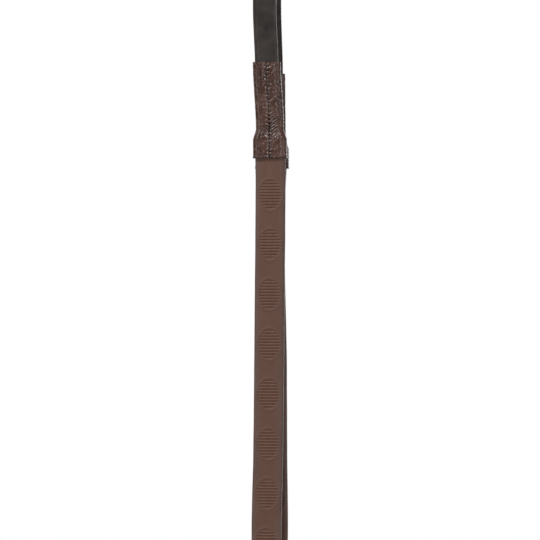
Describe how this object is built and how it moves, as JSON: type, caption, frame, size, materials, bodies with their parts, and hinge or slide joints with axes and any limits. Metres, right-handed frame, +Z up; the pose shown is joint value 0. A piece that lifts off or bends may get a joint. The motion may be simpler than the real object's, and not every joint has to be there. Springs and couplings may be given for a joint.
{
  "type": "leather reins",
  "caption": "Pair of leather reins hanging from their centre buckle, with ribbed rubber hand grips between stitched leather sleeves and hook stud bit ends.",
  "frame": {"origin": "where the hook touches the underside of the tab, at the top of the pair", "axes": "+Z up along the hanging reins, +X across the straps, -Y towards the front rein's outer face"},
  "size_m": [0.023, 0.056, 1.3728],
  "materials": {
    "black_leather": "semi-matt, near black",
    "brown_leather": "glossy creased brown hide",
    "brown_rubber": "matt brown rubber",
    "steel": "polished"
  },
  "bodies": {
    "centre_join": {"rear_hand_strap": "black_leather", "front_hand_strap": "black_leather", "buckle_frame": "steel", "buckle_fixed_keeper": "black_leather"},
    "prong": {"buckle_prong": "steel"},
    "buckle_runner": {"buckle_runner_keeper": "black_leather"},
    "front_rein": {"front_strap": "black_leather", "front_grip": "brown_rubber", "front_upper_sleeve": "brown_leather", "front_lower_sleeve": "brown_leather", "front_fixed_keeper": "black_leather", "front_hook_stud": "steel", "front_stud_washer": "steel"},
    "front_runner": {"front_runner_keeper": "black_leather"},
    "rear_rein": {"rear_strap": "black_leather", "rear_grip": "brown_rubber", "rear_upper_sleeve": "brown_leather", "rear_lower_sleeve": "brown_leather", "rear_fixed_keeper": "black_leather", "rear_hook_stud": "steel", "rear_stud_washer": "steel"},
    "rear_runner": {"rear_runner_keeper": "black_leather"}
  },
  "joints": [
    {"name": "prong_turn", "type": "hinge", "parent": "centre_join", "child": "prong", "pos_m": [0, -0.0158, -0.075], "axis": [1, 0, 0], "range_deg": [0, 30]},
    {"name": "buckle_runner_slide", "type": "slide", "parent": "centre_join", "child": "buckle_runner", "axis": [0, 0, 1], "range_m": [-0.014, 0.009]},
    {"name": "front_rein_bend", "type": "hinge", "parent": "centre_join", "child": "front_rein", "pos_m": [0, -0.0125, -0.2], "axis": [-1, 0, 0], "range_deg": [0, 75]},
    {"name": "front_runner_slide", "type": "slide", "parent": "front_rein", "child": "front_runner", "axis": [0, 0, 1], "range_m": [-0.007, 0.012]},
    {"name": "rear_rein_bend", "type": "hinge", "parent": "centre_join", "child": "rear_rein", "pos_m": [0, 0.0125, -0.2], "axis": [1, 0, 0], "range_deg": [0, 75]},
    {"name": "rear_runner_slide", "type": "slide", "parent": "rear_rein", "child": "rear_runner", "axis": [0, 0, 1], "range_m": [-0.007, 0.012]}
  ]
}
